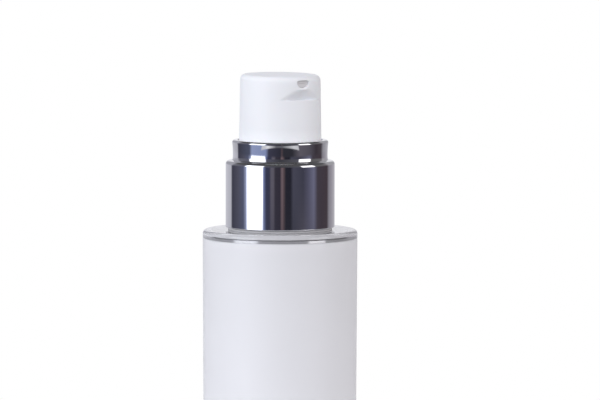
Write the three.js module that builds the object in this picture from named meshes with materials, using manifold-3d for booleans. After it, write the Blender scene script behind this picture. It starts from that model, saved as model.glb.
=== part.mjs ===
// Airless pump bottle: a clear shell over a white vessel, a bright stepped collar and a push-down head.
// Millimetres, +Z up. The origin is the middle of the foot, and the nozzle points along -Y.
import * as THREE from "three";
import { mergeVertices } from "three/addons/utils/BufferGeometryUtils.js";
import Module from "manifold-3d";

const wasm = await Module();
wasm.setup();

// Clearances
const seat = 0.1; // between faces that rest on one another
const fit = 0.2; // round a piece that plugs into or slides in another
const liningGap = 0.3; // air between the clear shell and the vessel
const headGap = 0.27; // round the head where it dips into the ring
const pressClearance = 1.5; // under the head's skirt at full stroke
const floorClearance = 0.5; // under the stem's foot at full stroke

// Clear outer shell
const bottleHeight = 72; // foot to the flat top
const shellRadius = 18;
const shellDraft = 0.3; // radius lost from the shoulder to the foot
const shellWall = 2;
const shellTop = 0.75;
const rimRound = 0.9;
const footRound = 0.4;

// White vessel inside it
const vesselWall = 1.3;
const deckThickness = 1.6;
const deckLip = 0.22; // edge of the deck, over the trim ring
const neckWall = 1.4;
const neckRise = 8.5; // neck above the flat top of the shell
const neckBead = 0.35;
const beadRise = 3.2; // start of the neck's bead above the flat top
const beadHeight = 1.2;

// Bright trim ring that shows through the clear wall, under the shell's rim
const trimHeight = 0.85;
const trimDepth = 0.9;
const trimLean = 0.07; // how far its top stands back from its foot

// Base and follower
const baseRecess = 0.6;
const baseThickness = 1.6;
const baseGuideHeight = 3;
const baseGuideWall = 1.2;
const ventRadius = 1;
const followerHeight = 9;
const followerWall = 1.6;
const followerFlange = 1;
const sealDepth = 1.8; // radial depth of the follower's seal
const sealWaist = 0.6; // how far its middle stands back from its lips

// Pump
const stroke = 5;
const gasketThickness = 0.8;
const flangeThickness = 1.4;
const plugLength = 4;
const plugWall = 1;
const chamberRadius = 4.6;
const chamberWall = 1;
const guidePlug = 3.1;
const guideFlange = 1;
const guideRadius = 6.5;
const wiperThickness = 0.6;
const stemRadius = 2.6;
const stemBore = 1.3;
const stemFlangeRadius = 4.6;
const stemFlangeThickness = 1;
const shoulderRadius = 3.5; // stop on the stem, under the guide
const shoulderHeight = 0.8;
const socketDepth = 4.5; // stem above its flange
const pistonHeight = 4;
const pistonWaist = 0.5;
const footFlange = 1.1;
const footBore = 0.5;
const footShank = 2.4;
const inletBallRadius = 1.6;
const inletLift = 0.8;
const inletPort = 1;
const inletFloor = 1;
const pocketGap = 0.8; // round the inlet ball in its pocket
const cageThickness = 1.2;
const cageHoles = 4;
const cageHoleRadius = 0.6;
const outletBallRadius = 1.5;
const outletLift = 0.7;
const outletPort = 0.9;
const outletPocketGap = 0.4;

// Return spring
const springLength = 9.8; // at rest, between its two seats
const springRadius = 4;
const springWire = 0.6;
const springTurns = 4.5;

// Clamp ring and bright collar
const clampWall = 0.85;
const clampWeb = 1.4;
const clampOpening = 7;
const collarWall = 0.8;
const collarLift = 0.58; // bright collar above the shell's flat top
const collarRound = 0.6;
const spacerInset = 0.43; // side of the grey spacer inside the collar's side
const stepWidth = 1.63;
const ringHeight = 4.9;
const ringWall = 1.23; // at the ring's waist
const ringSpread = 0.07; // how far the foot of the ring stands out from its waist
const ringFlare = 0.14; // and how far its lip does
const waistRise = 1.2; // waist above the step
const flareLength = 0.58; // below the lip, where the flare turns outwards
const lipDrop = 0.65; // widest part of the lip below its top
const lipTurn = 8; // start of the lip's rounding above level, in degrees
const lipRound = 0.3;
const headOverlap = 2; // skirt of the head inside the ring

// Head
const headRadius = 9.55; // at the top of the ring
const headDraft = 0.24; // radius lost from there to the top
const headHeight = 15.15; // above the ring
const headSlant = 0.02; // fall of the top towards the nozzle
const headEdgeBack = 1.15;
const headEdgeFront = 1.4;
const skirtWall = 1.38;
const orificeDrop = 1.05; // flat of the outlet below the top
const orificeWidth = 3.3;
const orificeHeight = 1.8;
const insertRecess = 0.8; // outlet insert behind the nozzle's face
const insertLength = 1.5;
const slitWidth = 1.6;
const slitHeight = 0.2;
const slitDrop = 0.7; // slit below the flat of the outlet
const outletLip = 0.3; // under the outlet, before the scoop starts
const chinHeight = 2.3; // from there down to the ledge
const scoopDepth = 2.1;
const scoopAngle = 40; // half width of the scoop at the ledge, in degrees
const scoopNarrow = 14; // and at its top
const scoopFlat = 0.5; // share of that width that has the full depth
const ledgeRise = 0.15;
const headCeiling = 1; // material between the ledge and the hollow below
const coreWall = 0.9;
const coreFlange = 1.5;
const coreChannel = 1.2;
const coreRoof = 0.5; // between the top of the core and the outlet
const wellRadius = 1.75;
const pocketWall = 1.3; // between the core and the blind pocket behind the outlet
const pocketStep = 0.5; // the pocket's outer side inside the skirt's bore
const pocketRoof = 2;
const pocketHalfAngle = 100;

// Facets
const bodySides = 48;
const hiddenSides = 32;
const pumpSides = 24;
const headSides = 60;

// Radii that follow from the sizes above
const shellBore = shellRadius - shellWall;
const vesselRadius = shellBore - liningGap;
const vesselBore = vesselRadius - vesselWall;
const trimRadius = shellBore - seat;
const trimBore = trimRadius - trimDepth;
const ringBore = headRadius + headGap;
const ringRadius = ringBore + ringWall;
const collarRadius = ringRadius + stepWidth;
const collarBore = collarRadius - collarWall;
const clampRadius = collarBore - fit;
const clampBore = clampRadius - clampWall;
const neckRadius = clampBore - fit - neckBead;
const neckBore = neckRadius - neckWall;
const stemFit = stemRadius + fit;
const pistonRadius = chamberRadius - fit;
const coreRadius = stemFit + coreWall;
const skirtBore = headRadius - skirtWall;
const inletPocket = inletBallRadius + pocketGap;
const outletPocket = outletBallRadius + outletPocketGap;

// Heights from the foot up
const baseTop = baseRecess + baseThickness;
const vesselFoot = baseTop + seat;
const followerFoot = baseTop + baseGuideHeight + seat;
const deckTop = bottleHeight - shellTop - seat;
const trimTop = deckTop - deckLip - seat;
const trimFoot = trimTop - trimHeight;
const ceiling = deckTop - deckThickness;
const neckTop = bottleHeight + neckRise;
const collarFoot = bottleHeight + collarLift;
const gasketFoot = neckTop + seat;
const flangeFoot = gasketFoot + gasketThickness + seat;
const flangeTop = flangeFoot + flangeThickness;
const guideSeat = flangeTop + seat;
const guideFoot = guideSeat - guidePlug;
const guideTop = guideSeat + guideFlange;
const wiperFoot = guideTop + seat;
const springFoot = wiperFoot + wiperThickness + seat;
const springTop = springFoot + springLength;
const stemFlangeFoot = springTop + seat;
const stemFlangeTop = stemFlangeFoot + stemFlangeThickness;
const stemTop = stemFlangeTop + socketDepth;
const shoulderTop = guideFoot - seat;
const pistonTop = shoulderTop - shoulderHeight - seat;
const pistonFoot = pistonTop - pistonHeight;
const footTop = pistonFoot - seat;
const footBottom = footTop - footFlange;
const cageTop = footBottom - stroke - floorClearance;
const cageFoot = cageTop - cageThickness;
const chamberFloor = cageFoot - seat;
const clampTop = guideSeat + clampWeb;
const skirtFoot = clampTop + pressClearance + stroke;
const ringTop = skirtFoot + headOverlap;
const stepTop = ringTop - ringHeight;
const headTop = ringTop + headHeight;
const orificeTop = headTop - orificeDrop;
const orificeFoot = orificeTop - orificeHeight;
const scoopTop = orificeFoot - outletLip;
const ledge = scoopTop - chinHeight;
const hollowTop = ledge - headCeiling;
const coreFoot = stemFlangeTop + seat;
const coreTop = orificeFoot - coreRoof;
const socketEnd = stemTop + fit;

// A ball rests in a 45 degree seat: its centre stands this far above the start of the cone.
const ballRise = (ballRadius, port) => Math.SQRT2 * (ballRadius + seat) - port;
const inletBallTop = cageFoot - seat - inletLift;
const inletBallZ = inletBallTop - inletBallRadius;
const inletSeat = inletBallZ - ballRise(inletBallRadius, inletPort);
const housingFoot = inletSeat - inletFloor;
const outletStop = socketEnd - Math.sqrt(outletBallRadius ** 2 - coreChannel ** 2) - seat;
const outletBallZ = outletStop - outletLift;
const outletSeat = outletBallZ - ballRise(outletBallRadius, outletPort);

const radians = THREE.MathUtils.degToRad;

// Makes a closed solid of a geometry.
function solid(geometry) {
  geometry.deleteAttribute("normal");
  geometry.deleteAttribute("uv");
  const merged = mergeVertices(geometry, 1e-4);
  return new wasm.Manifold(new wasm.Mesh({
    numProp: 3,
    vertProperties: new Float32Array(merged.attributes.position.array),
    triVerts: new Uint32Array(merged.index.array),
  }));
}

// Turns an outline of [radius, height] points about the axis.
function revolve(outline, sides) {
  const points = outline.map(([r, z]) => new THREE.Vector2(r, z));
  if (THREE.ShapeUtils.area(points) < 0) points.reverse();
  if (points[0].x > 0) points.push(points[0].clone());
  return solid(new THREE.LatheGeometry(points, sides).rotateX(Math.PI / 2));
}

// Points of an arc in an outline: 0 degrees is outwards, 90 is up.
function arc(r, z, radius, from, to, steps = 4) {
  return Array.from({ length: steps + 1 }, (_, i) => {
    const angle = radians(from + ((to - from) * i) / steps);
    return [r + radius * Math.cos(angle), z + radius * Math.sin(angle)];
  });
}

// A straight tube or disc with a hole.
function ring(inner, outer, foot, top, sides) {
  return revolve([[inner, foot], [outer, foot], [outer, top], [inner, top]], sides);
}

function rod(radius, foot, top, sides) {
  return revolve([[0, foot], [radius, foot], [radius, top], [0, top]], sides);
}

function ball(radius, z) {
  return solid(new THREE.SphereGeometry(radius, 16, 10).rotateX(Math.PI / 2).translate(0, 0, z));
}

// Joins rings of points, lowest first, and closes both ends about the axis.
function loft(rings) {
  const columns = rings[0].length;
  const points = rings.flat();
  const index = [];
  const middle = (row) => {
    const z = row.reduce((sum, point) => sum + point.z, 0) / columns;
    points.push(new THREE.Vector3(0, 0, z));
    return points.length - 1;
  };
  const foot = middle(rings[0]);
  const top = middle(rings[rings.length - 1]);
  const last = (rings.length - 1) * columns;
  for (let i = 0; i < columns; i++) {
    const j = (i + 1) % columns;
    index.push(foot, j, i, top, last + i, last + j);
    for (let row = 0; row < last; row += columns) {
      index.push(row + i, row + j, row + columns + j);
      index.push(row + i, row + columns + j, row + columns + i);
    }
  }
  return solid(new THREE.BufferGeometry().setFromPoints(points).setIndex(index));
}

function outerShell() {
  const footRadius = shellRadius - shellDraft;
  return revolve([
    [shellBore, 0],
    ...arc(footRadius - footRound, footRound, footRound, -90, 0, 2),
    ...arc(shellRadius - rimRound, bottleHeight - rimRound, rimRound, 0, 90),
    [neckRadius + liningGap, bottleHeight],
    [neckRadius + liningGap, bottleHeight - shellTop],
    [shellBore, bottleHeight - shellTop],
  ], bodySides);
}

function innerVessel() {
  const bead = bottleHeight + beadRise;
  return revolve([
    [vesselBore, vesselFoot],
    [vesselRadius, vesselFoot],
    [vesselRadius, trimFoot - seat],
    [trimBore - seat, trimFoot - seat],
    [trimBore - seat, trimTop + seat],
    [vesselRadius, trimTop + seat],
    [vesselRadius, deckTop],
    [neckRadius, deckTop],
    [neckRadius, bead],
    [neckRadius + neckBead, bead],
    [neckRadius + neckBead, bead + beadHeight - neckBead],
    [neckRadius, bead + beadHeight],
    [neckRadius, neckTop],
    [neckBore, neckTop],
    [neckBore, ceiling],
    [vesselBore, ceiling],
  ], bodySides);
}

function trimRing() {
  return revolve([
    [trimBore, trimFoot],
    [trimRadius, trimFoot],
    [trimRadius - trimLean, trimTop],
    [trimBore, trimTop],
  ], bodySides);
}

function basePlug() {
  const guide = vesselBore - fit;
  return revolve([
    [ventRadius, baseRecess],
    [shellBore - fit, baseRecess],
    [shellBore - fit, baseTop],
    [guide, baseTop],
    [guide, baseTop + baseGuideHeight],
    [guide - baseGuideWall, baseTop + baseGuideHeight],
    [guide - baseGuideWall, baseTop],
    [ventRadius, baseTop],
  ], bodySides);
}

// Cup with a groove round it for its seal.
const grooveRadius = vesselBore - fit - sealDepth;
const grooveFoot = followerFoot + followerFlange;
const grooveTop = followerFoot + followerHeight - followerFlange;

function followerDisc() {
  const flange = vesselBore - 2 * fit - sealWaist;
  const inside = grooveRadius - followerWall;
  const top = followerFoot + followerHeight;
  return revolve([
    [0, top - followerWall],
    [inside, top - followerWall],
    [inside, followerFoot],
    [flange, followerFoot],
    [flange, grooveFoot],
    [grooveRadius - fit, grooveFoot],
    [grooveRadius - fit, grooveTop],
    [flange, grooveTop],
    [flange, top],
    [0, top],
  ], hiddenSides);
}

function followerSeal() {
  const lip = vesselBore - fit;
  const foot = grooveFoot + seat;
  const top = grooveTop - seat;
  return revolve([
    [grooveRadius, foot],
    [lip, foot],
    [lip - sealWaist, foot + 2 * sealWaist],
    [lip - sealWaist, top - 2 * sealWaist],
    [lip, top],
    [grooveRadius, top],
  ], hiddenSides);
}

function neckGasket() {
  return ring(neckBore + fit, neckRadius - fit, gasketFoot, gasketFoot + gasketThickness, hiddenSides);
}

function pumpHousing() {
  const outside = chamberRadius + chamberWall;
  const plug = neckBore - fit;
  return revolve([
    [inletPort, housingFoot],
    [inletPocket + chamberWall, housingFoot],
    [outside, inletSeat],
    [outside, flangeFoot],
    [plug - plugWall, flangeFoot],
    [plug - plugWall, flangeFoot - plugLength],
    [plug, flangeFoot - plugLength],
    [plug, flangeFoot],
    [neckRadius - fit, flangeFoot],
    [neckRadius - fit, flangeTop],
    [chamberRadius, flangeTop],
    [chamberRadius, chamberFloor],
    [inletPocket, chamberFloor],
    [inletPocket, inletSeat + inletPocket - inletPort],
    [inletPort, inletSeat],
  ], pumpSides);
}

function ballCage() {
  const hole = rod(cageHoleRadius, cageFoot - seat, cageTop + seat, 12);
  const reach = inletPocket - cageHoleRadius - seat;
  let cage = rod(pistonRadius, cageFoot, cageTop, pumpSides);
  for (let i = 0; i < cageHoles; i++) {
    const angle = ((i + 0.5) * 2 * Math.PI) / cageHoles;
    cage = cage.subtract(hole.translate([reach * Math.cos(angle), reach * Math.sin(angle), 0]));
  }
  return cage;
}

function stemGuide() {
  return revolve([
    [stemFit, guideFoot],
    [chamberRadius - fit, guideFoot],
    [chamberRadius - fit, guideSeat],
    [guideRadius, guideSeat],
    [guideRadius, guideTop],
    [stemFit, guideTop],
  ], pumpSides);
}

function stemWiper() {
  return ring(stemFit, springRadius + springWire, wiperFoot, wiperFoot + wiperThickness, pumpSides);
}

function stem() {
  return revolve([
    [stemBore, footTop + seat],
    [stemRadius, footTop + seat],
    [stemRadius, shoulderTop - shoulderHeight],
    [shoulderRadius, shoulderTop - shoulderHeight],
    [shoulderRadius, shoulderTop],
    [stemRadius, shoulderTop],
    [stemRadius, stemFlangeFoot],
    [stemFlangeRadius, stemFlangeFoot],
    [stemFlangeRadius, stemFlangeTop],
    [stemRadius, stemFlangeTop],
    [stemRadius, stemTop],
    [outletPocket, stemTop],
    [outletPocket, outletSeat + outletPocket - outletPort],
    [outletPort, outletSeat],
    [stemBore, outletSeat - stemBore],
  ], pumpSides);
}

function stemFoot() {
  const shank = stemBore - fit;
  return revolve([
    [footBore, footBottom],
    [shoulderRadius, footBottom],
    [shoulderRadius, footTop],
    [shank, footTop],
    [shank, footTop + footShank],
    [footBore, footTop + footShank],
  ], pumpSides);
}

function pumpPiston() {
  return revolve([
    [stemFit, pistonFoot],
    [pistonRadius, pistonFoot],
    [pistonRadius - pistonWaist, pistonFoot + 2 * pistonWaist],
    [pistonRadius - pistonWaist, pistonTop - 2 * pistonWaist],
    [pistonRadius, pistonTop],
    [stemFit, pistonTop],
  ], pumpSides);
}

// Open coil that rises from its lower seat to its upper one.
class Coil extends THREE.Curve {
  getPoint(t, target = new THREE.Vector3()) {
    const angle = t * springTurns * 2 * Math.PI;
    const z = springFoot + springWire / 2 + t * (springLength - springWire);
    return target.set(springRadius * Math.cos(angle), springRadius * Math.sin(angle), z);
  }
}

function returnSpring() {
  const wire = new THREE.Shape().absarc(0, 0, springWire / 2, 0, 2 * Math.PI);
  return solid(new THREE.ExtrudeGeometry(wire, {
    steps: Math.round(springTurns * 16),
    curveSegments: 3,
    extrudePath: new Coil(),
    bevelEnabled: false,
  }));
}

// Least gap between one turn of the coil and another, on points along its middle.
function springGap() {
  const perTurn = 24;
  const points = new Coil().getPoints(Math.round(springTurns * perTurn));
  let least = Infinity;
  points.forEach((point, i) => {
    points.slice(i + perTurn / 2).forEach((other) => {
      least = Math.min(least, point.distanceTo(other));
    });
  });
  return least - springWire;
}

function innerCollar() {
  const foot = bottleHeight + seat;
  const lipTop = bottleHeight + beadRise - seat;
  return revolve([
    [neckRadius + fit, foot],
    [clampRadius, foot],
    [clampRadius, stepTop - collarWall - seat],
    [clampBore, stepTop - collarWall - seat],
    [clampBore, clampTop],
    [clampOpening, clampTop],
    [clampOpening, guideSeat],
    [clampBore, guideSeat],
    [clampBore, lipTop],
    [neckRadius + fit, lipTop],
  ], hiddenSides);
}

// Ring that the collar stands on.
function collarSpacer() {
  const foot = bottleHeight + seat;
  return ring(clampRadius + fit, collarRadius - spacerInset, foot, collarFoot - seat, bodySides);
}

// Points of a curve in an outline from one point to another, drawn towards a third.
function bend(from, towards, to, steps) {
  const points = [from, towards, to].map(([r, z]) => new THREE.Vector2(r, z));
  return new THREE.QuadraticBezierCurve(...points).getPoints(steps).map((point) => [point.x, point.y]);
}

// Waisted side of the ring, from the step to the widest part of its lip.
function ringSide() {
  const lip = ringTop - lipDrop;
  const foot = [ringRadius + ringSpread, stepTop + lipRound];
  const waist = [ringRadius, stepTop + waistRise];
  const lower = bend(foot, [ringRadius, (foot[1] + waist[1]) / 2], waist, 2);
  const upper = bend(waist, [ringRadius, lip - flareLength], [ringRadius + ringFlare, lip], 3);
  return [...lower, ...upper.slice(1)];
}

function collar() {
  return revolve([
    [collarBore, collarFoot],
    [collarRadius, collarFoot],
    ...arc(collarRadius - collarRound, stepTop - collarRound, collarRound, 0, 90, 3),
    [ringRadius + ringSpread + lipRound, stepTop],
    ...ringSide(),
    ...arc(ringRadius + ringFlare - lipDrop, ringTop - lipDrop, lipDrop, lipTurn, 90, 3),
    ...arc(ringBore + lipRound, ringTop - lipRound, lipRound, 90, 180, 2),
    [ringBore, stepTop - collarWall],
    [collarBore, stepTop - collarWall],
  ], bodySides);
}

// Side of the head at a height, with its draft.
function headSide(z) {
  return headRadius - (headDraft * (z - ringTop)) / headHeight;
}

// Soft scoop under the outlet: deepest at the ledge, gone at the outlet, and narrower as it rises.
function scoop(angle, z) {
  const share = THREE.MathUtils.clamp((scoopTop - z) / chinHeight, 0, 1);
  const half = radians(THREE.MathUtils.lerp(scoopNarrow, scoopAngle, share));
  const side = THREE.MathUtils.clamp((half - Math.abs(angle)) / (half * (1 - scoopFlat)), 0, 1);
  return scoopDepth * share ** 0.6 * side ** 1.5;
}

// One level of the head's outside. Each point is [radius, height] for its angle from the nozzle.
function headRing(place) {
  return Array.from({ length: headSides }, (_, i) => {
    const turn = (2 * Math.PI * i) / headSides;
    const angle = Math.atan2(Math.sin(turn), Math.cos(turn));
    const [r, z] = place(angle);
    return new THREE.Vector3(r * Math.sin(angle), -r * Math.cos(angle), z);
  });
}

function headOutside() {
  const level = (z) => headRing(() => [headSide(z), z]);
  const scooped = (z) => headRing((angle) => [headSide(z) - scoop(angle, z), z]);
  const edge = (share) => headRing((angle) => {
    const front = ((1 + Math.cos(angle)) / 2) ** 2;
    const round = headEdgeBack + (headEdgeFront - headEdgeBack) * front;
    const bend = (share * Math.PI) / 2;
    const r = headSide(headTop) - round * (1 - Math.cos(bend));
    return [r, headTop - headSlant * r * Math.cos(angle) - round * (1 - Math.sin(bend))];
  });
  const chin = [0, 0.35, 0.7, 0.9, 1].map((share) => {
    const foot = ledge + ledgeRise;
    return scooped(foot + share * (scoopTop - foot));
  });
  const rounding = [0, 0.33, 0.67, 1].map(edge);
  return loft([level(skirtFoot), level(ledge), ...chin, ...rounding]);
}

// Outlet seen from the front, with a flat roof and a round floor, and a gap inside it.
function outletShape(gap) {
  const half = orificeWidth / 2 - gap;
  const outline = new THREE.Shape();
  outline.moveTo(half, orificeTop - gap);
  outline.lineTo(-half, orificeTop - gap);
  outline.absellipse(0, orificeTop - gap, half, orificeHeight - 2 * gap, Math.PI, 2 * Math.PI);
  return outline;
}

// Runs a front view towards the nozzle, from one distance to another in front of the axis.
function forwards(outline, from, to) {
  const run = new THREE.ExtrudeGeometry(outline, {
    depth: to - from,
    curveSegments: 12,
    bevelEnabled: false,
  });
  return solid(run.translate(0, 0, from).rotateX(Math.PI / 2));
}

// Soft plug with a slit, which closes the outlet between strokes.
function outletInsert() {
  const face = headSide(orificeTop) - insertRecess;
  const plug = outletShape(seat);
  const foot = orificeTop - slitDrop - slitHeight;
  const slit = new THREE.Path();
  slit.moveTo(-slitWidth / 2, foot);
  slit.lineTo(-slitWidth / 2, foot + slitHeight);
  slit.lineTo(slitWidth / 2, foot + slitHeight);
  slit.lineTo(slitWidth / 2, foot);
  slit.closePath();
  plug.holes.push(slit);
  return forwards(plug, face - insertLength, face);
}

// Blind pocket that keeps the back of the head's top from being too thick.
function backPocket() {
  const inner = coreRadius + fit + pocketWall;
  const from = Math.PI / 2 - radians(pocketHalfAngle);
  const to = Math.PI / 2 + radians(pocketHalfAngle);
  const outline = new THREE.Shape();
  outline.absarc(0, 0, skirtBore - pocketStep, from, to, false);
  outline.absarc(0, 0, inner, to, from, true);
  const pocket = new THREE.ExtrudeGeometry(outline, {
    depth: headTop - pocketRoof - hollowTop + 1,
    curveSegments: 10,
    bevelEnabled: false,
  });
  return solid(pocket.translate(0, 0, hollowTop - 1));
}

function actuatorShell() {
  return headOutside()
    .subtract(rod(skirtBore, skirtFoot - 1, hollowTop, bodySides))
    .subtract(rod(coreRadius + fit, hollowTop - 1, coreTop + seat, pumpSides))
    .subtract(rod(wellRadius, coreTop, orificeTop, pumpSides))
    .subtract(backPocket())
    .subtract(forwards(outletShape(0), 0, 2 * headRadius));
}

function actuatorCore() {
  const flange = skirtBore - fit;
  const flangeFace = hollowTop - seat;
  return revolve([
    [stemFit, coreFoot],
    [coreRadius, coreFoot],
    [coreRadius, flangeFace - coreFlange],
    [flange, flangeFace - coreFlange],
    [flange, flangeFace],
    [coreRadius, flangeFace],
    [coreRadius, coreTop],
    [coreChannel, coreTop],
    [coreChannel, socketEnd],
    [stemFit, socketEnd],
  ], pumpSides);
}

const clear = { color: 0xf4f6f8, roughness: 0.03, metalness: 0, transparent: true, opacity: 0.3 };
const white = { color: 0xf1f1f3, roughness: 0.3, metalness: 0 };
const soft = { color: 0xeef1f7, roughness: 0.45, metalness: 0 };
const natural = { color: 0xe6e7e4, roughness: 0.5, metalness: 0 };
const rubber = { color: 0xd9d9d6, roughness: 0.8, metalness: 0 };
const grey = { color: 0xa2a1a3, roughness: 0.5, metalness: 0 };
const bright = { color: 0xc3c6cb, roughness: 0.06, metalness: 1 };
const steel = { color: 0xa9abad, roughness: 0.3, metalness: 1 };

const pieces = [
  ["outer_shell", outerShell(), clear],
  ["inner_vessel", innerVessel(), white],
  ["trim_ring", trimRing(), bright],
  ["base_plug", basePlug(), white],
  ["follower_disc", followerDisc(), natural],
  ["follower_seal", followerSeal(), rubber],
  ["neck_gasket", neckGasket(), rubber],
  ["pump_housing", pumpHousing(), natural],
  ["inlet_ball", ball(inletBallRadius, inletBallZ), steel],
  ["ball_cage", ballCage(), natural],
  ["stem_guide", stemGuide(), natural],
  ["stem_wiper", stemWiper(), rubber],
  ["inner_collar", innerCollar(), white],
  ["collar_spacer", collarSpacer(), grey],
  ["collar", collar(), bright],
  ["stem", stem(), natural],
  ["stem_foot", stemFoot(), natural],
  ["pump_piston", pumpPiston(), rubber],
  ["outlet_ball", ball(outletBallRadius, outletBallZ), steel],
  ["return_spring", returnSpring(), steel],
  ["actuator_shell", actuatorShell(), soft],
  ["actuator_core", actuatorCore(), natural],
  ["outlet_insert", outletInsert(), rubber],
];

const bottle = new THREE.Group();
bottle.name = "pump_bottle";
for (const [name, shape, look] of pieces) {
  const { vertProperties, triVerts } = shape.getMesh();
  const geometry = new THREE.BufferGeometry();
  geometry.setAttribute("position", new THREE.BufferAttribute(vertProperties, 3));
  geometry.setIndex(new THREE.BufferAttribute(triVerts, 1));
  geometry.computeVertexNormals();
  const mesh = new THREE.Mesh(geometry, new THREE.MeshStandardMaterial(look));
  mesh.name = name;
  bottle.add(mesh);
}
console.log(`spring: least gap between turns ${springGap().toFixed(2)} mm`);

export default bottle;
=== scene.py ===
"""Looks of the airless pump bottle.

Smooth pieces stand in place of the faceted ones that show. The materials, the camera and the light follow.
"""

import math

import bpy
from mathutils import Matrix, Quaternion, Vector


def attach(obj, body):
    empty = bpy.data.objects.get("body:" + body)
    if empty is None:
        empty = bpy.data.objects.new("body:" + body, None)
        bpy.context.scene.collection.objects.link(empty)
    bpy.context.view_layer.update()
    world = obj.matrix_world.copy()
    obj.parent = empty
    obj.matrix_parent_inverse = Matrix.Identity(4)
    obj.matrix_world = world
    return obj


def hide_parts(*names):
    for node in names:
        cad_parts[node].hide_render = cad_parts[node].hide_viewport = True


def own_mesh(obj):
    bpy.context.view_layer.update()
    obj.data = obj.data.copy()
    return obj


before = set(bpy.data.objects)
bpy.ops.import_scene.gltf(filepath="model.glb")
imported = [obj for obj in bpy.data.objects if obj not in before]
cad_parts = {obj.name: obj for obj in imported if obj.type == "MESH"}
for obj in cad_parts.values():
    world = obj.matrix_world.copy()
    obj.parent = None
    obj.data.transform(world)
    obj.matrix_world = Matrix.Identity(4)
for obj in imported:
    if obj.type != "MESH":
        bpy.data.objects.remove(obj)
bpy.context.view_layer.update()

MM = 0.001

# Sizes in millimetres: most are those of the solids, and some are set a little finer
BOTTLE_HEIGHT = 72.0
SHELL_RADIUS = 18.0
SHELL_DRAFT = 0.3
SHELL_BORE = 16.0
SHELL_TOP = 0.75
DECK_TOP = 71.15
DECK_LIP = 0.3
TRIM_BORE = 15.0
TRIM_RADIUS = 16.1
TRIM_LEAN = 0.08
TRIM_TOP = 70.58
TRIM_FOOT = 69.98
RIM_ROUND = 0.9
FOOT_ROUND = 0.4
SHELL_OPENING = 10.58
NECK_RADIUS = 10.28
NECK_BORE = 8.88
NECK_TOP = 80.5
CEILING = 69.55
VESSEL_BORE = 14.4
VESSEL_FOOT = 2.3
VESSEL_BOND = 0.01
EDGE_ROUND = 0.2
COLLAR_RADIUS = 12.68
COLLAR_BORE = 11.88
COLLAR_FOOT = 72.58
COLLAR_ROUND = 0.85
STEP_TOP = 88.1
STEP_FOOT = 87.2
STEP_RISE = 0.1
RING_RADIUS = 11.02
RING_SPREAD = 0.07
RING_FLARE = 0.17
RING_WAIST = 89.1
ROOT_ROUND = 0.22
ROOT_EASE = 0.4
FLARE_LENGTH = 1.1
RING_BORE = 9.82
RING_TOP = 92.9
LIP_DROP = 0.65
LIP_ROUND = 0.3
SPACER_BORE = 11.88
SPACER_RADIUS = 12.1
SPACER_FOOT = 72.02
SPACER_TOP = 72.48
SPACER_ROUND = 0.04
CLAMP_RADIUS = 11.68
CLAMP_BORE = 10.83
CLAMP_FOOT = 72.1
CLAMP_TOP = 87.1
CLAMP_FIT = 0.2
CLAMP_LIP_TOP = 75.1
CLAMP_WEB_FOOT = 83.0
CLAMP_WEB_TOP = 84.4
CLAMP_OPENING = 7.0
HEAD_RADIUS = 9.55
HEAD_DRAFT = 0.24
HEAD_HEIGHT = 15.15
HEAD_TOP = 108.05
HEAD_SLANT = 0.02
HEAD_EDGE_BACK = 1.15
HEAD_EDGE_FRONT = 1.4
SKIRT_FOOT = 90.9
SKIRT_BORE = 8.17
SKIRT_ROUND = 0.2
HOLLOW_TOP = 101.6
ORIFICE_TOP = 107.0
ORIFICE_WIDTH = 3.3
ORIFICE_HEIGHT = 1.75
ORIFICE_SHOULDER = 0.45
SHOULDER_POWER = 0.55
ORIFICE_BACK = -7
ORIFICE_FLARE = [(0, -9.0), (0.04, -9.12), (0.12, -9.22), (0.24, -9.31), (0.4, -9.4), (0.4, -12)]
INSERT_FACE = -8.7
INSERT_EDGE = 0.1
INSERT_GAP = 0.03
SLIT_WIDTH = 1.6
SLIT_HEIGHT = 0.05
SLIT_DROP = 0.7
SCOOP_TOP = 104.9
SCOOP_DEPTH = 2.6
SCOOP_ANGLE = math.radians(41)
SCOOP_NARROW = math.radians(16)
SCOOP_SOFTNESS = 2.4
LEDGE = 102.42
LEDGE_DIP = 0.09
LEDGE_ROUND = 0.08

SPRING_FOOT = 84.8
SPRING_LENGTH = 9.8
SPRING_RADIUS = 4.0
SPRING_WIRE = 0.6
SPRING_TURNS = 4.5

SIDES = 192
FINE_SIDES = 256


# Mesh helpers

def finish_mesh(name, mesh, body, node, sharp=35):
    """Puts a mesh in the scene as the piece that stands for a CAD node."""
    for polygon in mesh.polygons:
        polygon.use_smooth = True
    mesh.set_sharp_from_angle(angle=math.radians(sharp))
    piece = bpy.data.objects.new(name, mesh)
    bpy.context.scene.collection.objects.link(piece)
    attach(piece, body)
    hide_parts(node)
    return piece


def arc(r, z, radius, start, end, steps=10):
    """Points of an arc in an outline: 0 degrees is outwards, 90 is up."""
    points = []
    for i in range(steps + 1):
        angle = math.radians(start + (end - start) * i / steps)
        points.append((r + radius * math.cos(angle), z + radius * math.sin(angle)))
    return points


def bezier(p0, p1, p2, steps=12):
    """Points of a quadratic curve in an outline."""
    points = []
    for i in range(steps + 1):
        t = i / steps
        weights = ((1 - t) ** 2, 2 * t * (1 - t), t * t)
        points.append(tuple(sum(w * p[k] for w, p in zip(weights, (p0, p1, p2))) for k in (0, 1)))
    return points


def held(outline, reach=0.03):
    """Adds a point close to each end of a long straight run, so that its shading stays straight."""
    points = []
    for start, end in zip(outline, outline[1:] + outline[:1]):
        points.append(start)
        length = math.dist(start, end)
        if length > 12 * reach:
            for share in (reach / length, 1 - reach / length):
                points.append(tuple(a + (b - a) * share for a, b in zip(start, end)))
    return points


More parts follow.
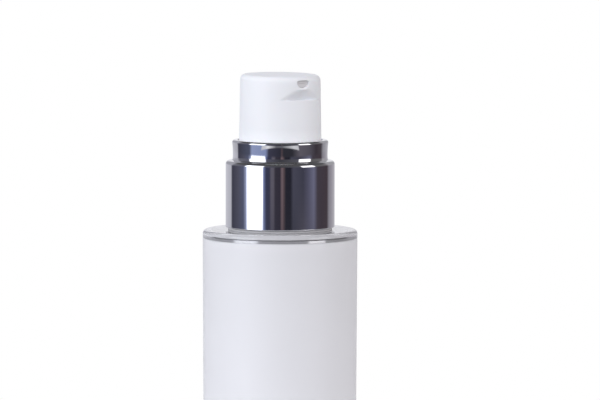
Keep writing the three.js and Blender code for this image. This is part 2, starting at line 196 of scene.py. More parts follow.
def revolve(name, outline, sides=SIDES):
    """Turns a closed outline of (radius, height), which runs up its outside, about the axis."""
    outline = held(outline)
    verts = []
    faces = []
    count = len(outline)
    for i in range(sides):
        angle = 2 * math.pi * i / sides
        for r, z in outline:
            verts.append((r * math.cos(angle) * MM, r * math.sin(angle) * MM, z * MM))
    for i in range(sides):
        j = (i + 1) % sides
        for k in range(count):
            m = (k + 1) % count
            faces.append((i * count + k, j * count + k, j * count + m, i * count + m))
    mesh = bpy.data.meshes.new(name)
    mesh.from_pydata(verts, [], faces)
    return mesh


def loft(name, rings):
    """Joins rings of points in metres, lowest first, and closes both ends with a fan."""
    columns = len(rings[0])
    verts = [p for ring in rings for p in ring]
    foot = len(verts)
    verts.append(tuple(sum(p[k] for p in rings[0]) / columns for k in range(3)))
    top = len(verts)
    verts.append(tuple(sum(p[k] for p in rings[-1]) / columns for k in range(3)))
    faces = []
    last = (len(rings) - 1) * columns
    for i in range(columns):
        j = (i + 1) % columns
        faces.append((foot, j, i))
        faces.append((top, last + i, last + j))
        for row in range(0, last, columns):
            faces.append((row + i, row + j, row + columns + j, row + columns + i))
    mesh = bpy.data.meshes.new(name)
    mesh.from_pydata(verts, [], faces)
    return mesh


def cut(mesh, cutters):
    """Takes the cutters away from a closed mesh and returns what is left."""
    scene = bpy.context.scene
    body = bpy.data.objects.new("cut_body", mesh)
    scene.collection.objects.link(body)
    helpers = []
    for i, cutter in enumerate(cutters):
        helper = bpy.data.objects.new(f"cutter_{i}", cutter)
        scene.collection.objects.link(helper)
        helpers.append(helper)
        modifier = body.modifiers.new(f"cut_{i}", "BOOLEAN")
        modifier.operation = "DIFFERENCE"
        modifier.solver = "EXACT"
        modifier.object = helper
    bpy.context.view_layer.update()
    graph = bpy.context.evaluated_depsgraph_get()
    result = bpy.data.meshes.new_from_object(body.evaluated_get(graph))
    for item in [body, *helpers]:
        bpy.data.objects.remove(item)
    return result


# Materials

class Nodes:
    """Node tree of a new material, with short calls to add and link nodes."""

    def __init__(self, tree):
        self.tree = tree
        tree.nodes.clear()

    def add(self, kind, **values):
        node = self.tree.nodes.new(kind)
        for name, value in values.items():
            setattr(node, name, value)
        return node

    def link(self, output, socket):
        self.tree.links.new(output, socket)


def new_material(name):
    material = bpy.data.materials.new(name)
    material.use_nodes = True
    nodes = Nodes(material.node_tree)
    output = nodes.add("ShaderNodeOutputMaterial")
    return material, nodes, output


def moulded(name, colour, roughness, scale=900, bump=0.012, tone=0.012, subsurface=0.0, painted_light_by_height=None):
    """Moulded plastic: a faint drift of tone and gloss and a fine skin on the surface. Where heights are
    given, light and shade are painted into the colour by height.
    """
    material, nodes, output = new_material(name)
    shader = nodes.add("ShaderNodeBsdfPrincipled")
    where = nodes.add("ShaderNodeTexCoord")
    drift = nodes.add("ShaderNodeTexNoise")
    drift.inputs["Scale"].default_value = 70
    drift.inputs["Detail"].default_value = 3
    nodes.link(where.outputs["Object"], drift.inputs["Vector"])
    ramp = nodes.add("ShaderNodeValToRGB")
    ramp.color_ramp.elements[0].position = 0.3
    ramp.color_ramp.elements[1].position = 0.7
    ramp.color_ramp.elements[0].color = (*[c * (1 - tone) for c in colour], 1)
    ramp.color_ramp.elements[1].color = (*[min(1, c * (1 + tone)) for c in colour], 1)
    nodes.link(drift.outputs["Fac"], ramp.inputs["Fac"])
    base = ramp.outputs["Color"]
    # Painted light and shade: the colour is made lighter or darker by height, in place of light and shade
    # that the lamps don't give.
    if painted_light_by_height:
        low = painted_light_by_height[0][0]
        high = painted_light_by_height[-1][0]
        height = nodes.add("ShaderNodeSeparateXYZ")
        nodes.link(where.outputs["Object"], height.inputs["Vector"])
        level = nodes.add("ShaderNodeMapRange")
        level.inputs["From Min"].default_value = low * MM
        level.inputs["From Max"].default_value = high * MM
        nodes.link(height.outputs["Z"], level.inputs["Value"])
        shade = nodes.add("ShaderNodeValToRGB")
        stops = shade.color_ramp.elements
        while len(stops) < len(painted_light_by_height):
            stops.new(0.5)
        for stop, (z, factor) in zip(stops, painted_light_by_height):
            stop.position = (z - low) / (high - low)
            stop.color = (factor, factor, factor, 1)
        nodes.link(level.outputs["Result"], shade.inputs["Fac"])
        painted_base = nodes.add("ShaderNodeMix", data_type="RGBA", blend_type="MULTIPLY")
        painted_base.inputs["Factor"].default_value = 1
        nodes.link(base, painted_base.inputs["A"])
        nodes.link(shade.outputs["Color"], painted_base.inputs["B"])
        base = painted_base.outputs["Result"]
    nodes.link(base, shader.inputs["Base Color"])
    gloss = nodes.add("ShaderNodeMapRange")
    gloss.inputs["To Min"].default_value = roughness * 0.9
    gloss.inputs["To Max"].default_value = roughness * 1.1
    nodes.link(drift.outputs["Fac"], gloss.inputs["Value"])
    nodes.link(gloss.outputs["Result"], shader.inputs["Roughness"])
    skin = nodes.add("ShaderNodeTexNoise")
    skin.inputs["Scale"].default_value = scale
    skin.inputs["Detail"].default_value = 2
    nodes.link(where.outputs["Object"], skin.inputs["Vector"])
    relief = nodes.add("ShaderNodeBump")
    relief.inputs["Strength"].default_value = bump
    relief.inputs["Distance"].default_value = 0.0002
    nodes.link(skin.outputs["Fac"], relief.inputs["Height"])
    nodes.link(relief.outputs["Normal"], shader.inputs["Normal"])
    shader.inputs["IOR"].default_value = 1.49
    shader.inputs["Subsurface Weight"].default_value = subsurface
    shader.inputs["Subsurface Scale"].default_value = 0.001
    nodes.link(shader.outputs["BSDF"], output.inputs["Surface"])
    return material


def bright_metal(name, colour, roughness, metallic=1.0):
    """Metallised skin: nearly a mirror, with a faint haze that varies and fine wiping marks round it."""
    material, nodes, output = new_material(name)
    shader = nodes.add("ShaderNodeBsdfPrincipled")
    shader.inputs["Metallic"].default_value = metallic
    where = nodes.add("ShaderNodeTexCoord")
    stretch = nodes.add("ShaderNodeMapping")
    stretch.inputs["Scale"].default_value = (40, 40, 1600)
    nodes.link(where.outputs["Object"], stretch.inputs["Vector"])
    marks = nodes.add("ShaderNodeTexNoise")
    marks.inputs["Scale"].default_value = 1
    marks.inputs["Detail"].default_value = 4
    nodes.link(stretch.outputs["Vector"], marks.inputs["Vector"])
    haze = nodes.add("ShaderNodeMapRange")
    haze.inputs["From Min"].default_value = 0.3
    haze.inputs["From Max"].default_value = 0.7
    haze.inputs["To Min"].default_value = roughness * 0.7
    haze.inputs["To Max"].default_value = roughness * 1.3
    nodes.link(marks.outputs["Fac"], haze.inputs["Value"])
    nodes.link(haze.outputs["Result"], shader.inputs["Roughness"])
    ramp = nodes.add("ShaderNodeValToRGB")
    ramp.color_ramp.elements[0].color = (*[c * 0.97 for c in colour], 1)
    ramp.color_ramp.elements[1].color = (*colour, 1)
    nodes.link(marks.outputs["Fac"], ramp.inputs["Fac"])
    nodes.link(ramp.outputs["Color"], shader.inputs["Base Color"])
    nodes.link(shader.outputs["BSDF"], output.inputs["Surface"])
    return material


def clear_plastic(name, tint, roughness=0.0, ior=1.49, satin_top=0.0):
    """Clear acrylic that lets light through to what is inside it."""
    material, nodes, output = new_material(name)
    glass = nodes.add("ShaderNodeBsdfPrincipled")
    glass.inputs["Transmission Weight"].default_value = 1
    glass.inputs["IOR"].default_value = ior
    where = nodes.add("ShaderNodeTexCoord")
    haze = nodes.add("ShaderNodeTexNoise")
    haze.inputs["Scale"].default_value = 120
    nodes.link(where.outputs["Object"], haze.inputs["Vector"])
    gloss = nodes.add("ShaderNodeMapRange")
    gloss.inputs["To Min"].default_value = roughness
    gloss.inputs["To Max"].default_value = roughness + 0.015
    nodes.link(haze.outputs["Fac"], gloss.inputs["Value"])
    finish = gloss.outputs["Result"]
    if satin_top:
        height = nodes.add("ShaderNodeSeparateXYZ")
        nodes.link(where.outputs["Object"], height.inputs["Vector"])
        side = nodes.add("ShaderNodeMapRange", interpolation_type="SMOOTHSTEP")
        side.inputs["From Min"].default_value = satin_top + 0.0004
        side.inputs["From Max"].default_value = satin_top
        side.inputs["To Max"].default_value = 0.45
        nodes.link(height.outputs["Z"], side.inputs["Value"])
        most = nodes.add("ShaderNodeMath", operation="MAXIMUM")
        nodes.link(finish, most.inputs[0])
        nodes.link(side.outputs["Result"], most.inputs[1])
        finish = most.outputs["Value"]
    nodes.link(finish, glass.inputs["Roughness"])
    glass.inputs["Base Color"].default_value = (*tint, 1)
    through = nodes.add("ShaderNodeBsdfTransparent")
    through.inputs["Color"].default_value = (0.96, 0.96, 0.96, 1)
    path = nodes.add("ShaderNodeLightPath")
    either = nodes.add("ShaderNodeMath", operation="MAXIMUM")
    nodes.link(path.outputs["Is Shadow Ray"], either.inputs[0])
    nodes.link(path.outputs["Is Diffuse Ray"], either.inputs[1])
    mix = nodes.add("ShaderNodeMixShader")
    nodes.link(either.outputs["Value"], mix.inputs["Fac"])
    nodes.link(glass.outputs["BSDF"], mix.inputs[1])
    nodes.link(through.outputs["BSDF"], mix.inputs[2])
    nodes.link(mix.outputs["Shader"], output.inputs["Surface"])
    return material


def dress(piece, material):
    piece.data.materials.clear()
    piece.data.materials.append(material)


# Pieces that show

def make_shell():
    foot = SHELL_RADIUS - SHELL_DRAFT
    under = BOTTLE_HEIGHT - SHELL_TOP
    outline = [
        (SHELL_BORE, 0),
        *arc(foot - FOOT_ROUND, FOOT_ROUND, FOOT_ROUND, -90, 0, 6),
        *arc(SHELL_RADIUS - RIM_ROUND, BOTTLE_HEIGHT - RIM_ROUND, RIM_ROUND, 0, 90, 14),
        *arc(SHELL_OPENING + EDGE_ROUND, BOTTLE_HEIGHT - EDGE_ROUND, EDGE_ROUND, 90, 180, 4),
        (SHELL_OPENING, under),
        (SHELL_BORE, under),
    ]
    mesh = revolve("outer_shell_smooth", outline, FINE_SIDES)
    return finish_mesh("outer_shell_smooth", mesh, "bottle", "outer_shell")


def make_vessel():
    # The white is bonded to the bore of the shell, so it stands just inside the clear wall.
    side = SHELL_BORE + VESSEL_BOND
    outline = [
        (VESSEL_BORE, VESSEL_FOOT),
        (side, VESSEL_FOOT),
        (side, TRIM_FOOT),
        (TRIM_BORE, TRIM_FOOT),
        (TRIM_BORE, DECK_TOP - DECK_LIP),
        (side, DECK_TOP - DECK_LIP),
        (side, DECK_TOP),
        (NECK_RADIUS, DECK_TOP),
        (NECK_RADIUS, NECK_TOP),
        (NECK_BORE, NECK_TOP),
        (NECK_BORE, CEILING),
        (VESSEL_BORE, CEILING),
    ]
    mesh = revolve("inner_vessel_smooth", outline, FINE_SIDES)
    return finish_mesh("inner_vessel_smooth", mesh, "bottle", "inner_vessel")


def make_trim():
    outline = [
        (TRIM_BORE, TRIM_FOOT),
        (TRIM_RADIUS, TRIM_FOOT),
        (TRIM_RADIUS - TRIM_LEAN, TRIM_TOP),
        (TRIM_BORE, TRIM_TOP),
    ]
    mesh = revolve("trim_ring_smooth", outline, FINE_SIDES)
    return finish_mesh("trim_ring_smooth", mesh, "bottle", "trim_ring")


def make_spacer():
    side = SPACER_RADIUS - SPACER_ROUND
    outline = [
        (SPACER_BORE, SPACER_FOOT),
        *arc(side, SPACER_FOOT + SPACER_ROUND, SPACER_ROUND, -90, 0, 4),
        *arc(side, SPACER_TOP - SPACER_ROUND, SPACER_ROUND, 0, 90, 4),
        (SPACER_BORE, SPACER_TOP),
    ]
    mesh = revolve("collar_spacer_smooth", outline)
    return finish_mesh("collar_spacer_smooth", mesh, "bottle", "collar_spacer")


def make_clamp():
    lip = NECK_RADIUS + CLAMP_FIT
    outline = [
        (lip, CLAMP_FOOT),
        *arc(CLAMP_RADIUS - EDGE_ROUND, CLAMP_FOOT + EDGE_ROUND, EDGE_ROUND, -90, 0, 4),
        (CLAMP_RADIUS, CLAMP_TOP),
        (CLAMP_BORE, CLAMP_TOP),
        (CLAMP_BORE, CLAMP_WEB_TOP),
        (CLAMP_OPENING, CLAMP_WEB_TOP),
        (CLAMP_OPENING, CLAMP_WEB_FOOT),
        (CLAMP_BORE, CLAMP_WEB_FOOT),
        (CLAMP_BORE, CLAMP_LIP_TOP),
        (lip, CLAMP_LIP_TOP),
    ]
    mesh = revolve("inner_collar_smooth", outline)
    return finish_mesh("inner_collar_smooth", mesh, "bottle", "inner_collar")


def make_collar():
    lip = RING_TOP - LIP_DROP
    wide = RING_RADIUS + RING_FLARE
    foot = RING_RADIUS + RING_SPREAD
    root = STEP_TOP + STEP_RISE + ROOT_ROUND
    outline = [
        *arc(COLLAR_BORE + EDGE_ROUND, COLLAR_FOOT + EDGE_ROUND, EDGE_ROUND, 180, 270, 4),
        *arc(COLLAR_RADIUS - EDGE_ROUND, COLLAR_FOOT + EDGE_ROUND, EDGE_ROUND, -90, 0, 4),
        *arc(COLLAR_RADIUS - COLLAR_ROUND, STEP_TOP - COLLAR_ROUND, COLLAR_ROUND, 0, 90),
        *arc(foot + ROOT_ROUND, root, ROOT_ROUND, 270, 187, 6),
        *bezier((foot, root), (RING_RADIUS, root + ROOT_EASE), (RING_RADIUS, RING_WAIST)),
        *bezier((RING_RADIUS, RING_WAIST), (RING_RADIUS, lip - FLARE_LENGTH), (wide, lip))[1:],
        *arc(wide - LIP_DROP, lip, LIP_DROP, 8, 90),
        *arc(RING_BORE + LIP_ROUND, RING_TOP - LIP_ROUND, LIP_ROUND, 90, 180, 6),
        (RING_BORE, STEP_FOOT),
        (COLLAR_BORE, STEP_FOOT),
    ]
    mesh = revolve("collar_smooth", outline, FINE_SIDES)
    return finish_mesh("collar_smooth", mesh, "bottle", "collar")


def revolve_solid(name, radius, foot, top):
    """Plain cylinder, to cut with."""
    rings = []
    for z in (foot, top):
        ring = []
        for i in range(SIDES):
            angle = 2 * math.pi * i / SIDES
            ring.append((radius * math.cos(angle) * MM, radius * math.sin(angle) * MM, z * MM))
        rings.append(ring)
    return loft(name, rings)


def head_side(z):
    """Radius of the head's tapered side."""
    return HEAD_RADIUS - HEAD_DRAFT * (z - RING_TOP) / HEAD_HEIGHT


def scoop(angle, share):
    """Depth of the scoop under the outlet; share is 1 at the ledge and 0 at the outlet."""
    half = SCOOP_NARROW + (SCOOP_ANGLE - SCOOP_NARROW) * share
    if abs(angle) >= half or share <= 0:
        return 0.0
    bell = (1 - (angle / half) ** 2) ** SCOOP_SOFTNESS
    return SCOOP_DEPTH * share * bell


def head_angles():
    """Angles from the nozzle, closer together near it."""
    angles = []
    near = math.radians(60)
    for i in range(200):
        angles.append(-near + 2 * near * i / 200)
    for i in range(120):
        angles.append(near + (2 * math.pi - 2 * near) * i / 120)
    return [math.atan2(math.sin(a), math.cos(a)) for a in angles]


def make_head():
    angles = head_angles()

    def ring(place):
        points = []
        for angle in angles:
            r, z = place(angle)
            points.append((r * math.sin(angle) * MM, -r * math.cos(angle) * MM, z * MM))
        return points

    def plain(z, inset=0.0):
        return ring(lambda angle: (head_side(z) - inset, z))

    def shelf(z, inset):
        """Ring that goes in over the scoop's foot, which dips inwards."""
        def place(angle):
            depth = inset(scoop(angle, 1))
            return head_side(z) - depth, z - LEDGE_DIP * depth
        return ring(place)

    def ledge(z, inset):
        return shelf(z, lambda depth: min(inset, depth))

    def corner(z, back):
        return shelf(z, lambda depth: max(0, depth - back))

    def chin(share):
        z = LEDGE + (1 - share) * (SCOOP_TOP - LEDGE)
        return ring(lambda angle: (head_side(z) - scoop(angle, share), z))

    def edge(share):
        def place(angle):
            front = ((1 + math.cos(angle)) / 2) ** 2
            rounding = HEAD_EDGE_BACK + (HEAD_EDGE_FRONT - HEAD_EDGE_BACK) * front
            bend = share * math.pi / 2
            r = head_side(HEAD_TOP) - rounding * (1 - math.cos(bend))
            z = HEAD_TOP - HEAD_SLANT * r * math.cos(angle) - rounding * (1 - math.sin(bend))
            return r, z
        return ring(place)

    side_foot = SKIRT_FOOT + SKIRT_ROUND
    side_top = LEDGE - 0.3
    rings = [plain(SKIRT_FOOT, SKIRT_ROUND), plain(SKIRT_FOOT + 0.06, 0.06), plain(side_foot)]
    for i in range(1, 13):
        rings.append(plain(side_foot + (side_top - side_foot) * i / 12))
    for turn in (0, 25, 50, 75, 90):
        bend = math.radians(turn)
        z = LEDGE - LEDGE_ROUND * (1 - math.sin(bend))
        rings.append(ledge(z, LEDGE_ROUND * (1 - math.cos(bend))))
    rings.append(ledge(LEDGE + 0.01, 0.6))
    rings.append(corner(LEDGE + 0.02, 0.2))
    rings.append(corner(LEDGE + 0.05, 0.1))
    for i in range(3, 31):
        rings.append(chin((1 - i / 30) ** 1.3))
    lip_top = HEAD_TOP - HEAD_EDGE_FRONT - HEAD_SLANT * HEAD_RADIUS
    for i in range(1, 9):
        rings.append(plain(SCOOP_TOP + (lip_top - 0.1 - SCOOP_TOP) * i / 8))
    for i in range(15):
        rings.append(edge(i / 14))
    brim = rings[-1]
    for share in (0.9, 0.7, 0.4):
        inner = [(x * share, y * share) for x, y, z in brim]
        rings.append([(x, y, HEAD_TOP * MM + HEAD_SLANT * y) for x, y in inner])
    body = loft("head_body", rings)

    half = ORIFICE_WIDTH / 2
    waist = ORIFICE_TOP - ORIFICE_SHOULDER

    def outlet(grow, y):
        """Outline of the outlet: nearly flat on top, with round shoulders over half an ellipse."""
        points = []
        for i in range(96):
            angle = math.pi + 2 * math.pi * i / 96
            across = math.cos(angle)
            up = math.sin(angle)
            if up < 0:
                z = waist + (ORIFICE_HEIGHT - ORIFICE_SHOULDER + grow) * up
            else:
                across = math.copysign(abs(across) ** SHOULDER_POWER, across)
                z = waist + (ORIFICE_SHOULDER + 0.3 * grow) * up ** SHOULDER_POWER
            points.append(((half + grow) * across * MM, y * MM, z * MM))
        return points

    flare = [outlet(grow, y) for grow, y in ORIFICE_FLARE]
    channel = loft("outlet_cut", [outlet(0, ORIFICE_BACK), *flare])
    hollow = revolve_solid("hollow_cut", SKIRT_BORE, SKIRT_FOOT - 1, HOLLOW_TOP)
    mesh = cut(body, [channel, hollow])
    piece = finish_mesh("actuator_shell_smooth", mesh, "head", "actuator_shell", 40)
    dress(piece, white_satin)

    def slit(y):
        """Outline of the slit in the insert, which stands closed."""
        top = ORIFICE_TOP - SLIT_DROP
        foot = top - SLIT_HEIGHT
        side = SLIT_WIDTH / 2
        corners = ((-side, top), (-side, foot), (side, foot), (side, top))
        return [(x * MM, y * MM, z * MM) for x, z in corners]

    plug = loft("outlet_plug", [
        outlet(-INSERT_GAP, ORIFICE_BACK),
        outlet(-INSERT_GAP, INSERT_FACE + INSERT_EDGE),
        outlet(-INSERT_GAP - INSERT_EDGE, INSERT_FACE),
    ])
    plug = cut(plug, [loft("slit_cut", [slit(ORIFICE_BACK + 0.5), slit(INSERT_FACE - 0.5)])])
    piece = finish_mesh("outlet_insert_smooth", plug, "head", "outlet_insert", 40)
    dress(piece, insert)


def make_spring():
    """Open coil of wire, carried with the bottle."""
    steps = round(SPRING_TURNS * 60)
    sides = 14
    wire = SPRING_WIRE / 2
    rings = []
    for i in range(steps + 1):
        angle = 2 * math.pi * SPRING_TURNS * i / steps
        z = SPRING_FOOT + wire + (SPRING_LENGTH - SPRING_WIRE) * i / steps
        ring = []
        for k in range(sides):
            turn = 2 * math.pi * k / sides
            r = SPRING_RADIUS + wire * math.cos(turn)
            height = z - wire * math.sin(turn)
            ring.append((r * math.cos(angle) * MM, r * math.sin(angle) * MM, height * MM))
        rings.append(ring)
    mesh = loft("return_spring_smooth", rings)
    piece = finish_mesh("return_spring_smooth", mesh, "bottle", "return_spring")
    dress(piece, steel)
    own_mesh(piece)


white_gloss = moulded("white_gloss", (0.79, 0.79, 0.81), 0.3)
# The vessel's colour carries painted light and shade: lighter just under the trim band, where light
# gathers, and darker on the deck above it, which stands in shade under the clear top.
vessel_white = moulded("vessel_white", (0.8, 0.8, 0.82), 0.3,
                       painted_light_by_height=[(68, 1.0), (69.2, 1.03), (69.9, 1.06), (70.88, 1.0), (70.92, 0.8)])
# The head's colour carries painted light: lighter towards its foot, standing in for light thrown up onto
# it from the bright collar.
white_satin = moulded("white_satin", (0.885, 0.895, 0.915), 0.42, scale=1400, bump=0.03, subsurface=0.04,
                      painted_light_by_height=[(92.6, 1.07), (93.8, 1.06), (95.8, 1.0)])
spacer_grey = moulded("spacer_grey", (0.56, 0.555, 0.565), 0.5)
silver = bright_metal("trim_silver", (0.5, 0.5, 0.515), 0.05, 0.4)
insert = moulded("outlet_insert", (0.68, 0.665, 0.67), 0.6)
natural = moulded("natural_plastic", (0.74, 0.75, 0.73), 0.5, subsurface=0.1)
seal = moulded("soft_seal", (0.66, 0.66, 0.64), 0.7, scale=2500, bump=0.08)
metal = bright_metal("bright_metal", (0.86, 0.86, 0.88), 0.035)
steel = bright_metal("spring_steel", (0.55, 0.55, 0.56), 0.22)
acrylic = clear_plastic("clear_acrylic", (0.99, 0.99, 0.99), satin_top=0.0697)
ball_glass = clear_plastic("ball_glass", (0.9, 0.94, 0.95), 0.02, 1.52)

dress(make_shell(), acrylic)
dress(make_vessel(), vessel_white)
dress(make_trim(), silver)
dress(make_spacer(), spacer_grey)
dress(make_clamp(), white_gloss)
dress(make_collar(), metal)
make_head()
make_spring()

CARRIED = {
    "base_plug": white_gloss,
    "follower_disc": natural,
    "follower_seal": seal,
    "neck_gasket": seal,
    "pump_housing": natural,
    "inlet_ball": ball_glass,
    "ball_cage": natural,
    "stem_guide": natural,
    "stem_wiper": seal,
    "stem": natural,
    "stem_foot": natural,
    "pump_piston": seal,
    "outlet_ball": ball_glass,
    "actuator_core": natural,
}
for node, material in CARRIED.items():
    dress(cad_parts[node], material)

# Camera, placed as the photograph's was

AZIMUTH = math.radians(-35.3)
ELEVATION = math.radians(4.6)
DISTANCE = 1.0
ROLL = math.radians(0.11)
MM_PER_PIXEL = 0.2325
AXIS_OFFSET = 19.85 * MM_PER_PIXEL
AIM_HEIGHT = 78.8

towards = Vector((math.sin(AZIMUTH), -math.cos(AZIMUTH), 0))
right = Vector((math.cos(AZIMUTH), math.sin(AZIMUTH), 0))
back = towards * math.cos(ELEVATION) + Vector((0, 0, math.sin(ELEVATION)))
aim = right * AXIS_OFFSET * MM + Vector((0, 0, AIM_HEIGHT * MM))
camera_data = bpy.data.cameras.new("camera")
camera_data.sensor_width = 36
camera_data.lens = 36 * DISTANCE / (600 * MM_PER_PIXEL * MM)
camera_data.clip_start = 0.05
camera_data.clip_end = 20
camera = bpy.data.objects.new("camera", camera_data)
bpy.context.scene.collection.objects.link(camera)
camera.location = aim + back * DISTANCE
camera.rotation_mode = "QUATERNION"
camera.rotation_quaternion = (-back).to_track_quat("-Z", "Y") @ Quaternion((0, 0, 1), ROLL)
bpy.context.scene.camera = camera

# Floor: pale near the bottle, where it takes the shadow, and gone further out


def make_floor():
    reach = 0.5
    corners = [(-reach, -reach, 0), (reach, -reach, 0), (reach, reach, 0), (-reach, reach, 0)]
    mesh = bpy.data.meshes.new("floor")
    mesh.from_pydata(corners, [], [(0, 1, 2, 3)])
    floor = bpy.data.objects.new("floor", mesh)
    bpy.context.scene.collection.objects.link(floor)
    floor.location.z = -0.0001
    material, nodes, output = new_material("pale_floor")
    place = nodes.add("ShaderNodeNewGeometry")
    length = nodes.add("ShaderNodeVectorMath", operation="LENGTH")
    nodes.link(place.outputs["Position"], length.inputs[0])
    fade = nodes.add("ShaderNodeMapRange", interpolation_type="SMOOTHSTEP")
    fade.inputs["From Min"].default_value = 0.06
    fade.inputs["From Max"].default_value = 0.2
    nodes.link(length.outputs["Value"], fade.inputs["Value"])
    surface = nodes.add("ShaderNodeBsdfDiffuse")
    surface.inputs["Color"].default_value = (0.93, 0.93, 0.93, 1)
    gone = nodes.add("ShaderNodeBsdfTransparent")
    mix = nodes.add("ShaderNodeMixShader")
    nodes.link(fade.outputs["Result"], mix.inputs["Fac"])
    nodes.link(surface.outputs["BSDF"], mix.inputs[1])
    nodes.link(gone.outputs["BSDF"], mix.inputs[2])
    nodes.link(mix.outputs["Shader"], output.inputs["Surface"])
    dress(floor, material)


make_floor()

# Studio that the bright pieces mirror: light by direction round the bottle,
# in degrees from the photograph's camera, its right positive

LOW_STUDIO = [
    (-180, (0.9, 0.9, 0.94)),
    (-164, (0.62, 0.62, 0.68)),
    (-128, (0.5, 0.5, 0.56)),
    (-122, (0.05, 0.05, 0.075)),
    (-100, (0.085, 0.085, 0.12)),
    (-84, (0.1, 0.11, 0.18)),
    (-76, (0.4, 0.45, 0.65)),
    (-73, (2.35, 2.42, 2.58)),
    (-38.6, (2.35, 2.42, 2.58)),
    (-35.6, (0.2, 0.24, 0.45)),
    (-30, (0.04, 0.045, 0.085)),
    (-22, (0.045, 0.046, 0.08)),
    (-19, (0.12, 0.112, 0.145)),
    (-14, (0.12, 0.11, 0.14)),
    (-10, (0.04, 0.036, 0.05)),
    (0, (0.035, 0.03, 0.045)),
    (4, (0.18, 0.13, 0.145)),
    (8, (0.1, 0.072, 0.08)),
    (12, (0.02, 0.02, 0.03)),
    (22, (0.018, 0.018, 0.028)),
    (28, (0.07, 0.07, 0.1)),
    (50, (0.05, 0.05, 0.075)),
    (62, (0.09, 0.09, 0.14)),
    (76, (0.16, 0.16, 0.24)),
    (86, (0.06, 0.05, 0.065)),
    (118, (0.06, 0.045, 0.055)),
    (126, (0.25, 0.235, 0.27)),
    (140, (0.34, 0.32, 0.36)),
    (164, (0.5, 0.49, 0.53)),
    (180, (0.9, 0.9, 0.94)),
]
UNDER_STUDIO = [
    (-180, (0.6, 0.6, 0.64)),
    (-128, (0.45, 0.45, 0.5)),
    (-122, (0.05, 0.05, 0.07)),
    (-80, (0.08, 0.09, 0.14)),
    (-73, (0.3, 0.35, 0.55)),
    (-36, (0.25, 0.3, 0.5)),
    (-28, (0.05, 0.05, 0.08)),
    (1, (0.03, 0.03, 0.045)),
    (4, (0.09, 0.065, 0.075)),
    (8, (0.03, 0.03, 0.04)),
    (30, (0.03, 0.03, 0.04)),
    (50, (0.12, 0.11, 0.135)),
    (75, (0.095, 0.088, 0.11)),
    (98, (0.045, 0.036, 0.046)),
    (118, (0.07, 0.06, 0.07)),
    (128, (0.3, 0.29, 0.32)),
    (180, (0.6, 0.6, 0.64)),
]
HIGH_STUDIO = [
    (-180, (0.86, 0.86, 0.9)),
    (-173, (0.7, 0.7, 0.75)),
    (-164, (0.36, 0.36, 0.4)),
    (-126, (0.4, 0.4, 0.45)),
    (-118, (0.15, 0.15, 0.18)),
    (-82, (0.12, 0.12, 0.16)),
    (-76, (2.35, 2.42, 2.58)),
    (-39, (2.35, 2.42, 2.58)),
    (-34, (0.1, 0.1, 0.14)),
    (0, (0.05, 0.05, 0.06)),
    (45, (0.1, 0.1, 0.12)),
    (50, (2.4, 2.34, 2.4)),
    (76, (2.4, 2.34, 2.4)),
    (81, (0.12, 0.12, 0.12)),
    (118, (0.15, 0.14, 0.15)),
    (126, (0.38, 0.37, 0.39)),
    (164, (0.36, 0.36, 0.38)),
    (173, (0.7, 0.7, 0.73)),
    (180, (0.86, 0.86, 0.9)),
]
CEILING_LIGHT = (0.085, 0.085, 0.09)
TABLE_LIGHT = (0.95, 0.95, 0.98)
CARD_LIGHT = [
    (-180, (0.0, 0.0, 0.0)),
    (-43, (0.6, 0.61, 0.66)),
    (-36, (0.66, 0.66, 0.7)),
    (-30, (0.85, 0.85, 0.88)),
    (-24, (0.6, 0.6, 0.63)),
    (-10, (0.14, 0.14, 0.16)),
    (5, (0.13, 0.13, 0.15)),
    (19, (0.38, 0.38, 0.4)),
    (34, (0.66, 0.66, 0.69)),
    (43, (0.6, 0.6, 0.63)),
    (180, (0.0, 0.0, 0.0)),
]
# Soft light that falls on the bottle, by the same directions
SOFT_LOW = [
    (-180, (1.25, 1.25, 1.3)),
    (-110, (1.5, 1.52, 1.6)),
    (-55, (1.46, 1.49, 1.59)),
    (-20, (1.2, 1.22, 1.29)),
    (10, (0.82, 0.82, 0.85)),
    (40, (0.45, 0.44, 0.46)),
    (80, (0.7, 0.67, 0.68)),
    (130, (1.55, 1.51, 1.53)),
    (180, (1.25, 1.25, 1.3)),
]
SOFT_HIGH = [
    (-180, (0.2, 0.2, 0.21)),
    (-120, (0.45, 0.46, 0.49)),
    (-75, (1.75, 1.79, 1.92)),
    (-25, (2.03, 2.07, 2.2)),
    (20, (1.64, 1.63, 1.7)),
    (70, (1.32, 1.27, 1.29)),
    (110, (0.6, 0.58, 0.59)),
    (150, (0.2, 0.2, 0.21)),
    (180, (0.2, 0.2, 0.21)),
]
SOFT_TOP = (0.3, 0.3, 0.32)
SOFT_BELOW = (0.34, 0.34, 0.35)

# Where one light passes into the next, by how far a direction rises or drops
UNDER_TO_LOW = (-0.108, -0.072)
LOW_TO_HIGH = (-0.04, 0.05)
HIGH_TO_CEILING = (0.45, 0.62)
TO_TABLE = (0.5, 0.6)
CARD_SLOPE = -0.27
CARD_EDGE = (-0.02, 0.02)
CARD_SIDES = (0.65, 0.69)
SOFT_LOW_TO_HIGH = (0.2, 0.45)
SOFT_HIGH_TO_TOP = (0.75, 0.9)
TO_SOFT_BELOW = (0.0, 0.2)


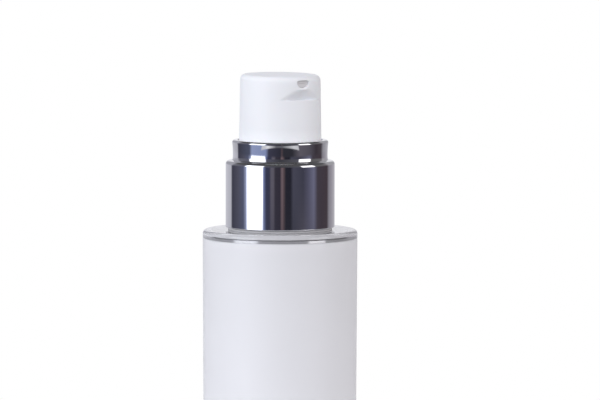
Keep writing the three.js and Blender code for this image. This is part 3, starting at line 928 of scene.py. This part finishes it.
def make_world():
    world = bpy.data.worlds.new("studio")
    bpy.context.scene.world = world
    world.use_nodes = True
    nodes = Nodes(world.node_tree)
    output = nodes.add("ShaderNodeOutputWorld")
    where = nodes.add("ShaderNodeTexCoord")

    def math_node(operation, *values):
        node = nodes.add("ShaderNodeMath", operation=operation)
        for socket, value in zip(node.inputs, values):
            if isinstance(value, float):
                socket.default_value = value
            else:
                nodes.link(value, socket)
        return node.outputs["Value"]

    def along(axis):
        dot = nodes.add("ShaderNodeVectorMath", operation="DOT_PRODUCT")
        nodes.link(where.outputs["Generated"], dot.inputs[0])
        dot.inputs[1].default_value = axis
        return dot.outputs["Value"]

    def step(value, low, high):
        node = nodes.add("ShaderNodeMapRange", interpolation_type="SMOOTHSTEP")
        node.inputs["From Min"].default_value = low
        node.inputs["From Max"].default_value = high
        nodes.link(value, node.inputs["Value"])
        return node.outputs["Result"]

    def blend(factor, first, second):
        mix = nodes.add("ShaderNodeMix", data_type="RGBA")
        nodes.link(factor, mix.inputs["Factor"])
        for socket, value in ((mix.inputs["A"], first), (mix.inputs["B"], second)):
            if isinstance(value, tuple):
                socket.default_value = (*value, 1)
            else:
                nodes.link(value, socket)
        return mix.outputs["Result"]

    def around(stops):
        ramp = nodes.add("ShaderNodeValToRGB")
        elements = ramp.color_ramp.elements
        while len(elements) < len(stops):
            elements.new(0.5)
        for element, (angle, colour) in zip(elements, stops):
            element.position = (angle + 180) / 360
            element.color = (*colour, 1)
        nodes.link(turn, ramp.inputs["Fac"])
        return ramp.outputs["Color"]

    ahead = along(towards)
    angle = math_node("ARCTAN2", along(right), ahead)
    turn = math_node("MULTIPLY_ADD", angle, 0.5 / math.pi, 0.5)
    rise = along((0, 0, 1))
    colour = blend(step(rise, *UNDER_TO_LOW), around(UNDER_STUDIO), around(LOW_STUDIO))
    colour = blend(step(rise, *LOW_TO_HIGH), colour, around(HIGH_STUDIO))
    colour = blend(step(rise, *HIGH_TO_CEILING), colour, CEILING_LIGHT)
    drop = math_node("MULTIPLY", rise, -1.0)
    edge = step(math_node("MULTIPLY_ADD", ahead, CARD_SLOPE, drop), *CARD_EDGE)
    card = math_node("MULTIPLY", edge, step(ahead, *CARD_SIDES))
    colour = blend(card, colour, around(CARD_LIGHT))
    colour = blend(step(drop, *TO_TABLE), colour, TABLE_LIGHT)
    soft = blend(step(rise, *SOFT_LOW_TO_HIGH), around(SOFT_LOW), around(SOFT_HIGH))
    soft = blend(step(rise, *SOFT_HIGH_TO_TOP), soft, SOFT_TOP)
    soft = blend(step(drop, *TO_SOFT_BELOW), soft, SOFT_BELOW)
    path = nodes.add("ShaderNodeLightPath")
    mirrored = math_node("MAXIMUM", path.outputs["Is Glossy Ray"], path.outputs["Is Transmission Ray"])
    seen = math_node("LESS_THAN", path.outputs["Diffuse Depth"], 0.5)
    mirrored = math_node("MULTIPLY", mirrored, seen)
    colour = blend(mirrored, soft, colour)
    colour = blend(path.outputs["Is Camera Ray"], colour, (1.0, 1.0, 1.0))
    light = nodes.add("ShaderNodeBackground")
    nodes.link(colour, light.inputs["Color"])
    nodes.link(light.outputs["Background"], output.inputs["Surface"])


make_world()
bpy.context.scene.view_settings.view_transform = "Standard"
